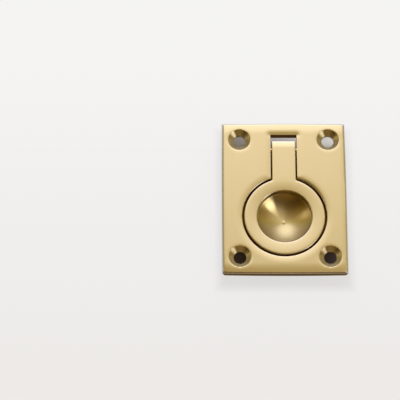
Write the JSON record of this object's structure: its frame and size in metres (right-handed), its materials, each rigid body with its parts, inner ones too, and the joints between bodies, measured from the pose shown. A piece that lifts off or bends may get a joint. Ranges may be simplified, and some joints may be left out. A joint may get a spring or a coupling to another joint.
{
  "type": "recessed pull handle",
  "caption": "Rectangular flush ring pull: a flat ring on a tongue lies in a keyhole recess over a round finger cup and hinges up on a cross pin.",
  "frame": {"origin": "middle of the flange and of its four screw holes, on the flange's mounting face behind the polished face", "axes": "+Z out of the polished face towards the user, +Y along the flange towards the pin end, +X across the flange"},
  "size_m": [0.0444, 0.0574, 0.009],
  "materials": {
    "satin_brass_plate": "satin",
    "satin_brass_ring": "satin",
    "drawn_brass_pin": "bright drawn"
  },
  "bodies": {
    "plate_body": {"backplate": "satin_brass_plate", "pivot_pin": "drawn_brass_pin"},
    "ring_body": {"pull_ring": "satin_brass_ring"}
  },
  "joints": [
    {"name": "ring_hinge", "type": "hinge", "parent": "plate_body", "child": "ring_body", "pos_m": [0, 0.01865, 0.0015], "axis": [-1, 0, 0], "range_deg": [0, 148]}
  ]
}
